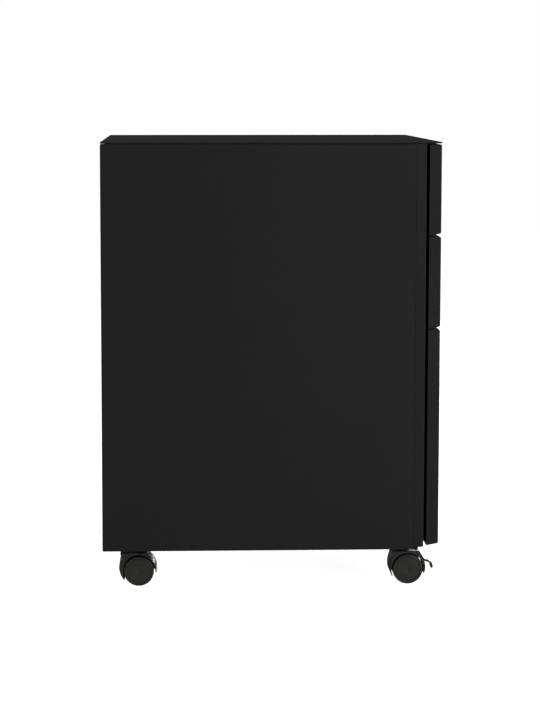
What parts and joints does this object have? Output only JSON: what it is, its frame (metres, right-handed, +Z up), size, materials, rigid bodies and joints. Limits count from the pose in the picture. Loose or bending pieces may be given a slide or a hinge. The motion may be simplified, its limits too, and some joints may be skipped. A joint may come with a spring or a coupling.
{
  "type": "rolling pedestal cabinet",
  "caption": "Rolling under-desk pedestal cabinet in black sheet steel, with shallow drawers over a filing drawer, a cam lock and twin-wheel casters with brakes at the front.",
  "frame": {"origin": "on the floor, under the centre of the cabinet's bounding box", "axes": "+Z up, +X across the cabinet to the right as seen from the drawer side, -Y towards the drawer fronts"},
  "size_m": [0.39, 0.45, 0.6],
  "materials": {
    "powder_coat": "satin black powder coat with a very fine texture",
    "inner_coat": "satin black paint on the inner parts",
    "zinc": "bright zinc plate",
    "chrome": "polished nickel-chrome lock",
    "steel": "plain steel axles and cam",
    "nylon": "moulded black nylon, softly glossy",
    "tread": "moulded black wheels"
  },
  "bodies": {
    "carcass": {"back_panel": "powder_coat", "base_panel": "inner_coat", "bottom_front_rail": "powder_coat", "caster_plate_front_left": "zinc", "caster_plate_front_right": "zinc", "caster_plate_rear_left": "zinc", "caster_plate_rear_right": "zinc", "front_stile_left": "powder_coat", "front_stile_right": "powder_coat", "lock_bar_guide_lower": "zinc", "lock_bar_guide_upper": "zinc", "rear_upright_left": "inner_coat", "rear_upright_right": "inner_coat", "side_panel_left": "powder_coat", "side_panel_right": "powder_coat", "slide_1_outer_left": "zinc", "slide_1_outer_right": "zinc", "slide_2_outer_left": "zinc", "slide_2_outer_right": "zinc", "slide_3_outer_left": "zinc", "slide_3_outer_right": "zinc", "top_panel": "powder_coat"},
    "drawer_1": {"drawer_box_1": "inner_coat", "drawer_face_1": "powder_coat", "lock_housing": "chrome", "slide_1_inner_left": "zinc", "slide_1_inner_right": "zinc"},
    "drawer_2": {"drawer_box_2": "inner_coat", "drawer_face_2": "powder_coat", "slide_2_inner_left": "zinc", "slide_2_inner_right": "zinc"},
    "drawer_3": {"drawer_box_3": "inner_coat", "drawer_face_3": "powder_coat", "hanging_rail_left": "zinc", "hanging_rail_right": "zinc", "slide_3_inner_left": "zinc", "slide_3_inner_right": "zinc"},
    "slide_3_middle": {"slide_3_middle_left": "zinc", "slide_3_middle_right": "zinc"},
    "lock_key": {"lock_cam": "steel", "lock_plug": "chrome"},
    "lock_bar": {"lock_bar": "zinc"},
    "brake_body_front_left": {"brake_lever_front_left": "nylon"},
    "brake_body_front_right": {"brake_lever_front_right": "nylon"},
    "swivel_front_left": {"caster_axle_front_left": "steel", "caster_hood_front_left": "nylon"},
    "swivel_front_right": {"caster_axle_front_right": "steel", "caster_hood_front_right": "nylon"},
    "swivel_rear_left": {"caster_axle_rear_left": "steel", "caster_hood_rear_left": "nylon"},
    "swivel_rear_right": {"caster_axle_rear_right": "steel", "caster_hood_rear_right": "nylon"},
    "wheel_body_front_left_left": {"wheel_front_left_left": "tread"},
    "wheel_body_front_left_right": {"wheel_front_left_right": "tread"},
    "wheel_body_front_right_left": {"wheel_front_right_left": "tread"},
    "wheel_body_front_right_right": {"wheel_front_right_right": "tread"},
    "wheel_body_rear_left_left": {"wheel_rear_left_left": "tread"},
    "wheel_body_rear_left_right": {"wheel_rear_left_right": "tread"},
    "wheel_body_rear_right_left": {"wheel_rear_right_left": "tread"},
    "wheel_body_rear_right_right": {"wheel_rear_right_right": "tread"}
  },
  "joints": [
    {"name": "drawer_1_slide", "type": "slide", "parent": "carcass", "child": "drawer_1", "axis": [0, -1, 0], "range_m": [0, 0.295]},
    {"name": "drawer_2_slide", "type": "slide", "parent": "carcass", "child": "drawer_2", "axis": [0, -1, 0], "range_m": [0, 0.295]},
    {"name": "drawer_3_slide", "type": "slide", "parent": "carcass", "child": "drawer_3", "axis": [0, -1, 0], "range_m": [0, 0.38]},
    {"name": "slide_3_middle_slide", "type": "slide", "parent": "carcass", "child": "slide_3_middle", "axis": [0, -1, 0], "range_m": [0, 0.19]},
    {"name": "lock_turn", "type": "hinge", "parent": "drawer_1", "child": "lock_key", "pos_m": [0.15, -0.2245, 0.576], "axis": [0, 1, 0], "range_deg": [0, 90]},
    {"name": "lock_bar_slide", "type": "slide", "parent": "carcass", "child": "lock_bar", "axis": [0, 0, -1], "range_m": [0, 0.008]},
    {"name": "swivel_rear_left_turn", "type": "hinge", "parent": "carcass", "child": "swivel_rear_left", "pos_m": [-0.15, 0.1725, 0.045], "axis": [0, 0, 1], "continuous": true},
    {"name": "wheel_rear_left_left_spin", "type": "hinge", "parent": "swivel_rear_left", "child": "wheel_body_rear_left_left", "pos_m": [-0.16315, 0.177, 0.0205], "axis": [1, 0, 0], "continuous": true},
    {"name": "wheel_rear_left_right_spin", "type": "hinge", "parent": "swivel_rear_left", "child": "wheel_body_rear_left_right", "pos_m": [-0.13685, 0.177, 0.0205], "axis": [1, 0, 0], "continuous": true},
    {"name": "swivel_rear_right_turn", "type": "hinge", "parent": "carcass", "child": "swivel_rear_right", "pos_m": [0.15, 0.1725, 0.045], "axis": [0, 0, 1], "continuous": true},
    {"name": "wheel_rear_right_left_spin", "type": "hinge", "parent": "swivel_rear_right", "child": "wheel_body_rear_right_left", "pos_m": [0.13685, 0.177, 0.0205], "axis": [1, 0, 0], "continuous": true},
    {"name": "wheel_rear_right_right_spin", "type": "hinge", "parent": "swivel_rear_right", "child": "wheel_body_rear_right_right", "pos_m": [0.16315, 0.177, 0.0205], "axis": [1, 0, 0], "continuous": true},
    {"name": "swivel_front_left_turn", "type": "hinge", "parent": "carcass", "child": "swivel_front_left", "pos_m": [-0.15, -0.183, 0.045], "axis": [0, 0, 1], "continuous": true},
    {"name": "wheel_front_left_left_spin", "type": "hinge", "parent": "swivel_front_left", "child": "wheel_body_front_left_left", "pos_m": [-0.16315, -0.1875, 0.0205], "axis": [1, 0, 0], "continuous": true},
    {"name": "wheel_front_left_right_spin", "type": "hinge", "parent": "swivel_front_left", "child": "wheel_body_front_left_right", "pos_m": [-0.13685, -0.1875, 0.0205], "axis": [1, 0, 0], "continuous": true},
    {"name": "brake_front_left_press", "type": "hinge", "parent": "swivel_front_left", "child": "brake_body_front_left", "pos_m": [-0.15, -0.202, 0.041], "axis": [1, 0, 0], "range_deg": [0, 15]},
    {"name": "swivel_front_right_turn", "type": "hinge", "parent": "carcass", "child": "swivel_front_right", "pos_m": [0.15, -0.183, 0.045], "axis": [0, 0, 1], "continuous": true},
    {"name": "wheel_front_right_left_spin", "type": "hinge", "parent": "swivel_front_right", "child": "wheel_body_front_right_left", "pos_m": [0.13685, -0.1875, 0.0205], "axis": [1, 0, 0], "continuous": true},
    {"name": "wheel_front_right_right_spin", "type": "hinge", "parent": "swivel_front_right", "child": "wheel_body_front_right_right", "pos_m": [0.16315, -0.1875, 0.0205], "axis": [1, 0, 0], "continuous": true},
    {"name": "brake_front_right_press", "type": "hinge", "parent": "swivel_front_right", "child": "brake_body_front_right", "pos_m": [0.15, -0.202, 0.041], "axis": [1, 0, 0], "range_deg": [0, 15]}
  ],
  "couplings": [
    {"joint": "slide_3_middle_slide", "follows": "drawer_3_slide", "ratio": 0.5},
    {"joint": "lock_turn", "follows": "lock_bar_slide", "rad_per_m": 196.3}
  ]
}
